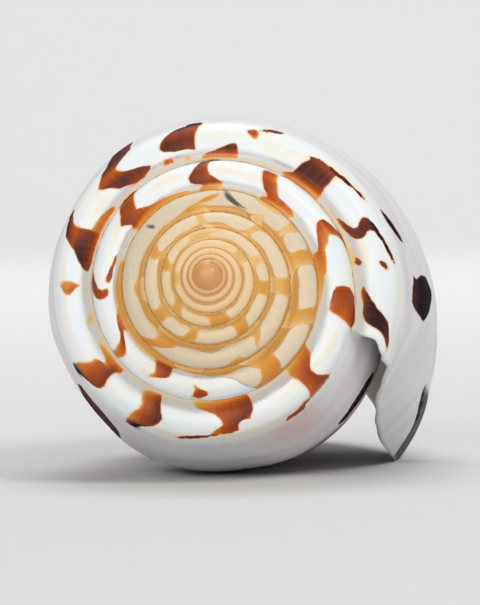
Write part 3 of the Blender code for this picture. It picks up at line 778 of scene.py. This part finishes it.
def grown_mesh(chart, material):
    flat = bpy.data.objects.new("shell_chart", chart)
    bpy.context.scene.collection.objects.link(flat)
    tree = growth_tree(material)
    modifier = flat.modifiers.new("grow", "NODES")
    modifier.node_group = tree
    for item in tree.interface.items_tree:
        if item.in_out == "INPUT" and item.name in SIZES:
            modifier[item.identifier] = SIZES[item.name]
    graph = bpy.context.evaluated_depsgraph_get()
    mesh = bpy.data.meshes.new_from_object(flat.evaluated_get(graph))
    flat.modifiers.remove(modifier)
    bpy.data.objects.remove(flat)
    return mesh


shell_material = bpy.data.materials.new("shell_surface")
shell_mesh = grown_mesh(shell_chart, shell_material)
print(len(shell_mesh.vertices), "vertices grown, attributes", len(shell_mesh.attributes))

# %% [markdown]
# Now the finish. Colours are given as they look on a screen, 0 to 255, and turned into light values. A
# shell's ground is pale and slightly see-through; the old whorls are worn to tan, and dirt sits in their
# sutures.

# %% Colours
def paint(red, green, blue):
    light = [value / 255 for value in (red, green, blue)]
    return tuple(v / 12.92 if v < 0.04045 else ((v + 0.055) / 1.055) ** 2.4 for v in light) + (1.0,)


# Stops above 1 give the grey of a dirt stain and of painted shade on the lip's edge and in the old chip.
FLAME_PAINT = [(0, (238, 204, 142)), (0.15, (220, 158, 70)), (0.30, (218, 128, 40)), (0.45, (188, 84, 20)),
               (0.60, (150, 68, 34)), (0.75, (112, 58, 44)), (0.88, (66, 36, 36)), (1, (28, 15, 19)),
               (1.15, (104, 98, 98)), (1.45, (176, 142, 98))]
OLD_CREAM = [(-2900, (226, 172, 116)), (-2580, (236, 196, 146)), (-1800, (238, 206, 160)),
             (-1400, (233, 210, 172)), (-1080, (232, 209, 178)), (-900, (218, 201, 172)),
             (-720, (230, 210, 180)), (-640, (228, 212, 186))]
OLD_GOLD = [(-2900, (222, 162, 104)), (-2200, (226, 172, 108)), (-1500, (222, 168, 96)),
            (-640, (214, 154, 78))]
WHITE = (244, 245, 243)
BLUISH_WHITE = (230, 237, 244)
IVORY = (242, 232, 206)
SIDE_WHITE = (228, 225, 226)
LILAC = (210, 202, 212)
ROSE = (226, 190, 182)
BEIGE = (218, 203, 178)
GROOVE_SHADE_GREY = (200, 199, 198)
GOLD_FRINGE = (238, 186, 110)
THREAD_BROWN = (202, 148, 92)
DIRT = (124, 84, 50)
SPECK = (112, 84, 54)
SCAR_AND_CHIP_SHADOW = (98, 88, 76)
BOSS_RIM_SHADE = (212, 150, 88)
INSIDE_WHITE = (234, 227, 228)
print(len(FLAME_PAINT), "stops from pale gold to nearly black")

# %% [markdown]
# The material reads the notes at the corners and works out one colour from them. These helpers read a
# note, run a colour through stops, lay one colour over another and make noise that is drawn out along the
# growth lines.

# %% Tools for the material tree
def layer(tree, name):
    made = tree.nodes.new("ShaderNodeAttribute")
    made.attribute_name = name
    return Number(tree, made.outputs["Fac"])


def colour_line(tree, share, stops):
    """A colour that runs through the stops while the number goes from the first stop to the last."""
    first, last = stops[0][0], stops[-1][0]
    made = tree.nodes.new("ShaderNodeValToRGB")
    points = made.color_ramp.elements
    while len(points) < len(stops):
        points.new(0.5)
    for point, (at, colour) in zip(points, stops):
        point.position = (at - first) / (last - first)
        point.color = paint(*colour)
    plug(tree, made.inputs["Fac"], (share - first) / (last - first))
    return made.outputs["Color"]


def lay_over(tree, under, over, share):
    """One colour over another, as far as the share says."""
    made = tree.nodes.new("ShaderNodeMix")
    made.data_type = "RGBA"
    plug(tree, made.inputs[0], share)
    for slot, colour in zip((made.inputs[6], made.inputs[7]), (under, over)):
        if isinstance(colour, tuple):
            slot.default_value = paint(*colour)
        else:
            tree.links.new(colour, slot)
    return made.outputs[2]


def streaks(tree, turn, down, fineness, seed, detail=3.0):
    """Noise drawn out along the growth lines."""
    return noise(tree, join_xyz(tree, turn * fineness, down * 0.3, seed), detail)


print("a middle grey, 128 of 255, is", round(paint(128, 128, 128)[0], 3), "of the full light")

# %% [markdown]
# The finish is laid on as the shell wears it. First comes the young ground, with its band, the painted
# shade of its groove, and its side. Then the blotches of the side and the flames go over it, each flame with
# frayed edges and a gold fringe. Beyond the younger break the old shell covers them all, worn to cream and
# gold. Scars with painted shadow in the old chip, specks, the dirt in the suture and the boss with its
# painted rim shade come last.

# %% The finish of the shell
THREAD_SPACING = 0.95
BELT_AT = 24.0
BELT_SPACING = 27.0
GOLD_BAND = 1.5
GOLD_RIM = 0.25
GOLD_ROUNDING = 2.2
HATCH = (158, 104, 78)


def young_ground(tree, turn, down, fine, cloud):
    """White, with a beige band under the suture, painted grey shade in the groove, and a greyer side."""
    colour = lay_over(tree, WHITE, BLUISH_WHITE, cloud.eased(0.4, 0.7) * down.eased(1.2, 2.4) * 0.6)
    colour = lay_over(tree, colour, IVORY, cloud.eased(0.5, 0.3) * down.eased(5.8, 5.2, 0.2, 0.7))
    # Painted shade: the groove near the suture is greyed where it lies in shade.
    colour = lay_over(tree, colour, GROOVE_SHADE_GREY, down.eased(2.1, 1.1) * 0.75)
    colour = lay_over(tree, colour, BEIGE, down.eased(1.0, 0.6) * fine.eased(0.3, 0.7, 0.7, 1))
    thread = (0 - ((down - 1.5) / 0.24) ** 2).does("EXPONENT") * cloud.eased(0.5, 0.62) * fine.eased(0.3, 0.5)
    colour = lay_over(tree, colour, THREAD_BROWN, thread * 0.6)
    side = lay_over(tree, SIDE_WHITE, LILAC, cloud.eased(0.4, 0.7) * 0.5)
    rose = turn.eased(-334, -322) * turn.eased(-298, -316) * down.eased(13, 9.5)
    side = lay_over(tree, side, ROSE, rose * 0.65)
    return lay_over(tree, colour, side, down.eased(5.4, 7.2))


def old_shell(tree, turn, down, size, edge, darkness, shade, cloud):
    """Cream islands with rounded ends, between gold that follows the sutures and the worn flames."""
    patches = noise(tree, join_xyz(tree, turn / 26, down * 0.3, 2.0), 1.0)
    band = (GOLD_BAND + (patches - 0.5) * 2.6 + (cloud - 0.5) * 0.9 - down) * size
    rim = (down - RAMP_LENGTH + GOLD_RIM + (patches - 0.5)) * size
    gold = edge - darkness.eased(1.0, 1.05) * FAR
    for other in (band, rim):
        gold = gold.does("SMOOTH_MAX", other, size * GOLD_ROUNDING)
    colour = colour_line(tree, turn, OLD_CREAM)
    colour = lay_over(tree, colour, colour_line(tree, turn, OLD_GOLD), gold.eased(-0.09, 0.11))
    soft = darkness.eased(1, 1.06, 0.15, 0.22)
    return lay_over(tree, colour, colour_line(tree, shade, FLAME_PAINT), edge.eased(0 - soft, soft))


def side_blotches(tree, colour, turn, down, streak, grown):
    """Irregular brown blotches in two belts of the side, with fine hatching that runs round the shell."""
    threads = (down * (math.tau / THREAD_SPACING)).does("COSINE")
    amount = noise(tree, join_xyz(tree, turn / 34, down / 8.5, 3.0), 3.0)
    belts = ((down - BELT_AT) * (math.tau / BELT_SPACING)).does("COSINE")
    amount = amount + belts * 0.07 + (streak - 0.5) * 0.12
    on_side = down.eased(15, 22) * turn.eased(-20, -42) * grown
    hatch = (amount + threads * 0.02).eased(0.47, 0.53) * threads.eased(-0.2, 0.7, 0, 0.65) * on_side
    colour = lay_over(tree, colour, HATCH, hatch)
    shade = 0.55 + (streak - 0.5) * 0.5 + amount.eased(0.52, 0.66, 0, 0.3) + threads * 0.04
    cover = (amount + threads * 0.012).eased(0.53, 0.555) * on_side
    return lay_over(tree, colour, colour_line(tree, shade, FLAME_PAINT), cover)


def shell_finish(material):
    material.use_nodes = True
    tree = material.node_tree
    turn, down, depth = [layer(tree, name) for name in ("turn_here", "down_here", "depth_here")]
    edge, darkness = layer(tree, "mark_edge"), layer(tree, "darkness")
    young_break, old_break = layer(tree, "young_break"), layer(tree, "old_break")
    grown = layer(tree, "closing").does("ABSOLUTE").eased(0.15, 0)
    streak = (streaks(tree, turn, down, 0.9, 0.0) - 0.5) * grown + 0.5
    fine = (streaks(tree, turn, down, 2.6, 7.0) - 0.5) * grown + 0.5
    cloud = (noise(tree, join_xyz(tree, turn / 24, down * 0.45, 5.0), 2.0) - 0.5) * grown + 0.5
    old = young_break.eased(-0.05, 0.1)
    size = (turn * (math.log(GROWTH_PER_TURN) / 360)).does("EXPONENT")
    colour = young_ground(tree, turn, down, fine, cloud)
    colour = side_blotches(tree, colour, turn, down, streak, grown)
    frayed = edge + ((streak - 0.5) * 0.22 + (fine - 0.5) * 0.14) * darkness.eased(0.1, 0.45, 0.15, 1)
    fringe = (frayed + 0.28) / 0.3
    colour = lay_over(tree, colour, GOLD_FRINGE, fringe.eased(0, 1) * down.eased(6.5, 5.5, 0, 0.6))
    changing = (streak - 0.5) * darkness.eased(0.15, 0.5, 0.08, 0.26) + (cloud - 0.5) * 0.2
    changing = changing + frayed.eased(0, 0.35, -0.08, 0.03)
    shade = darkness + changing * darkness.eased(1.1, 1, 0.3, 1)
    shade = shade.does("MINIMUM", darkness.eased(1, 1.05, 1, 2))
    soft = darkness.eased(1, 1.06, 0.07, 0.5)
    colour = lay_over(tree, colour, colour_line(tree, shade, FLAME_PAINT), frayed.eased(0 - soft, soft))
    worn_shade = shade - (changing * 0.6 + 0.05) * darkness.eased(1.1, 1, 0.1, 1)
    worn = old_shell(tree, turn, down, size, edge + (fine - 0.5) * 0.1, darkness, worn_shade, cloud)
    colour = lay_over(tree, colour, worn, old)
    scar = (0 - (young_break / 0.09) ** 2).does("EXPONENT") * streak.eased(0.3, 0.6, 0.3, 1)
    # The old break's scar is widened into a grey wedge: partly scar colour, partly painted shadow in the
    # chip.
    width = down.eased(1.5, 4.2, 0.1, 0.24)
    old_scar_and_chip_shadow = (0 - (old_break / width) ** 2).does("EXPONENT") * fine.eased(0.3, 0.6, 0.5, 1)
    colour = lay_over(tree, colour, SCAR_AND_CHIP_SHADOW, scar * 0.5)
    colour = lay_over(tree, colour, SCAR_AND_CHIP_SHADOW, old_scar_and_chip_shadow * 0.85)
    specks = noise(tree, join_xyz(tree, turn * 0.6, down * 1.7, 9.0), 2.5).eased(0.63, 0.72)
    specks = specks * cloud.eased(0.42, 0.56) * down.eased(1.2, 3.2, 1, 0.35)
    colour = lay_over(tree, colour, SPECK, specks * old * grown * 0.8)
    suture = (down * size).eased(0.13, 0.04) * streaks(tree, turn, down, 0.25, 11.0).eased(0.4, 0.64)
    colour = lay_over(tree, colour, DIRT, suture * grown * old.eased(0, 1, 0.6, 0.75))
    boss = layer(tree, "closing")
    # Painted shade: a darker orange ring round the boss's edge, where the dome curves away from the light.
    colour = lay_over(tree, colour, BOSS_RIM_SHADE, boss.eased(0.02, 0.15) * boss.eased(0.75, 0.35) * 0.7)
    colour = lay_over(tree, colour, INSIDE_WHITE, depth.eased(0.4, 0.9))
    surface = tree.nodes["Principled BSDF"]
    tree.links.new(colour, surface.inputs["Base Color"])
    dark = frayed.eased(-0.05, 0.05) * darkness.eased(0.3, 0.75)
    roughness = old.eased(0, 1, 0.34, 0.46) * grown.eased(0, 1, 0.75, 1) + (streak - 0.5) * 0.08
    tree.links.new(roughness.socket, surface.inputs["Roughness"])
    tree.links.new((grown.eased(0, 1, 0.5, 0.22) * (1 - dark)).socket, surface.inputs["Specular IOR Level"])
    surface.inputs["Coat Weight"].default_value = 0.09
    surface.inputs["Coat Roughness"].default_value = 0.25
    surface.inputs["Subsurface Weight"].default_value = 0.12
    surface.inputs["Subsurface Radius"].default_value = (1.0, 0.7, 0.5)
    surface.inputs["Subsurface Scale"].default_value = 0.0015
    bump = tree.nodes.new("ShaderNodeBump")
    bump.inputs["Strength"].default_value = 0.4
    bump.inputs["Distance"].default_value = 0.03 * MM
    height = (streak + fine * 0.6) * depth.eased(0, 0.5, 1, 0.15)
    tree.links.new(height.socket, bump.inputs["Height"])
    tree.links.new(bump.outputs["Normal"], surface.inputs["Normal"])


shell_finish(shell_material)
print(len(shell_material.node_tree.nodes), "nodes in the shell's finish")

# %% [markdown]
# The shell lies on its side, on its body whorl and on the edge of its lip. REST_RISE lifts the canal end,
# and REST_ROLL turns the shell round its axis, both in degrees. The frame says where the shell goes: the
# box of the plain solid and the box of the grown shell get the same middle and the same top. What would
# then be just below the surface that the shell lies on is worn flat.

# %% Laying the shell down
REST_ROLL = -0.4
REST_RISE = 9.0


def vertex_places(mesh):
    places = np.empty(len(mesh.vertices) * 3, np.float32)
    mesh.vertices.foreach_get("co", places)
    return places.reshape(-1, 3)


laid = Matrix.Rotation(math.radians(90 - REST_RISE), 4, "X")
laid = laid @ Matrix.Rotation(math.radians(REST_ROLL), 4, "Z")
shell_mesh.transform(Matrix.Scale(MM, 4) @ laid)
places = vertex_places(shell_mesh)
low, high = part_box("shell")
middle = [(low[axis] + high[axis] - places[:, axis].min() - places[:, axis].max()) / 2 for axis in (0, 1)]
SHELL_ORIGIN = Vector((*middle, high[2] - places[:, 2].max()))
places = places + np.array(SHELL_ORIGIN, np.float32)
sunk = round(float(-places[:, 2].min()) / MM, 2)
places[:, 2] = np.maximum(places[:, 2], 0.0)
shell_mesh.vertices.foreach_set("co", places.ravel())
print("the apex cone's tip lies at", [round(v / MM, 2) for v in SHELL_ORIGIN], "mm; worn flat by", sunk, "mm")

# %% [markdown]
# The shell stands in a plain pale studio: a floor that curves up into a wall all round, so no horizon
# shows.

# %% Studio
FLOOR_RADIUS = 1.1
CURVE_RADIUS = 0.5
CURVE_STEPS = 12
WALL_HEIGHT = 1.4
SPOKES = 96


def studio_mesh():
    line = [(0.0, 0.0), (FLOOR_RADIUS, 0.0)]
    for k in range(1, CURVE_STEPS + 1):
        angle = math.radians(90 * k / CURVE_STEPS)
        line.append((FLOOR_RADIUS + CURVE_RADIUS * math.sin(angle), CURVE_RADIUS * (1 - math.cos(angle))))
    line.append((FLOOR_RADIUS + CURVE_RADIUS, WALL_HEIGHT))
    verts = [(0.0, 0.0, 0.0)]
    for radius, height in line[1:]:
        for angle in [math.tau * k / SPOKES for k in range(SPOKES)]:
            verts.append((radius * math.cos(angle), radius * math.sin(angle), height))
    faces = [(0, 1 + k, 1 + (k + 1) % SPOKES) for k in range(SPOKES)]
    for ring in range(len(line) - 2):
        for k in range(SPOKES):
            a, b = 1 + ring * SPOKES + k, 1 + ring * SPOKES + (k + 1) % SPOKES
            faces.append((a, a + SPOKES, b + SPOKES, b))
    mesh = bpy.data.meshes.new("studio")
    mesh.from_pydata(verts, [], faces)
    mesh.shade_smooth()
    return mesh


def add_object(name, data):
    made = bpy.data.objects.new(name, data)
    bpy.context.scene.collection.objects.link(made)
    return made


studio = add_object("studio", studio_mesh())
pale = bpy.data.materials.new("pale_floor")
pale.use_nodes = True
floor_surface = pale.node_tree.nodes["Principled BSDF"]
floor_surface.inputs["Base Color"].default_value = (0.72, 0.72, 0.71, 1)
floor_surface.inputs["Roughness"].default_value = 0.9
studio.data.materials.append(pale)

# %% [markdown]
# The camera looks nearly along the axis, at the spire. Its numbers were fitted to the picture: how many
# pixels a millimetre has, the pixel where the tip of the apex cone lies, the distance in millimetres, and
# how far the line of sight tilts from the axis, in radians, with the azimuth that it tilts towards, in
# degrees.

# %% Camera
PIXELS_PER_MM = 10.5
PICTURE_WIDTH, PICTURE_HEIGHT = 480, 605
ORIGIN_PIXEL = (208.8, 278.0)
CAMERA_DISTANCE = 428.6
VIEW_TILT = 0.141
VIEW_TILT_TOWARDS = 156.6
SENSOR_WIDTH = 36.0


def camera_axes():
    towards = math.radians(VIEW_TILT_TOWARDS)
    back = Vector((math.sin(towards), math.cos(towards), 0)) * math.sin(VIEW_TILT)
    back.z = math.cos(VIEW_TILT)
    up = (Vector((0, 1, 0)) - back * back.y).normalized()
    return [laid.to_3x3() @ axis for axis in (up.cross(back), up, back)]


right, up, back = camera_axes()
aim = right * (PICTURE_WIDTH / 2 - ORIGIN_PIXEL[0]) - up * (PICTURE_HEIGHT / 2 - ORIGIN_PIXEL[1])
aim = SHELL_ORIGIN + aim * (MM / PIXELS_PER_MM)
eye = SHELL_ORIGIN + back * CAMERA_DISTANCE * MM
back = (eye - aim).normalized()
right = up.cross(back).normalized()
up = back.cross(right)
camera_data = bpy.data.cameras.new("camera")
camera_data.sensor_fit = "HORIZONTAL"
camera_data.sensor_width = SENSOR_WIDTH
camera_data.lens = PIXELS_PER_MM * CAMERA_DISTANCE * SENSOR_WIDTH / PICTURE_WIDTH
camera_data.clip_end = 10.0
camera = add_object("camera", camera_data)
camera.matrix_world = Matrix.Translation(eye) @ Matrix((right, up, back)).transposed().to_4x4()
bpy.context.scene.camera = camera
print("camera", [round(v, 4) for v in eye], "lens", round(camera_data.lens, 1))

# %% [markdown]
# A large soft lamp high on the right shows the form, and a smaller one in front gives the ramps their
# shine. A wide lamp on the left fills the shadows, one above lights the back, and one lights the wall
# behind.

# %% Lights
def area_light(name, place, size, watts, aim_at=(0, 0, 0.018)):
    data = bpy.data.lights.new(name, "AREA")
    data.shape = "DISK"
    data.size = size
    data.energy = watts
    light = add_object(name, data)
    light.location = place
    light.rotation_euler = (Vector(place) - Vector(aim_at)).to_track_quat("Z", "Y").to_euler()
    return light


area_light("key", (0.5, -0.5, 0.62), 0.4, 2.7)
area_light("front", (-0.04, -0.65, 0.19), 0.3, 0.8)
area_light("fill", (-0.6, -0.75, 0.3), 0.5, 1.5)
area_light("top", (-0.1, 0.35, 1.1), 0.9, 3.0)
area_light("backdrop", (0.0, 0.5, 1.1), 0.8, 9.0, (0.0, 1.6, 0.3))
world = bpy.data.worlds.new("studio_light")
world.use_nodes = True
world.node_tree.nodes["Background"].inputs["Color"].default_value = (0.95, 0.97, 1.0, 1)
world.node_tree.nodes["Background"].inputs["Strength"].default_value = 0.4
bpy.context.scene.world = world
bpy.context.scene.view_settings.view_transform = "Standard"

# %% [markdown]
# The shell rides on the part's one body and takes the place of its plain solid.

# %% Finish
shell = add_object("cone_shell", shell_mesh)
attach(shell, "root")
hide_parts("shell")
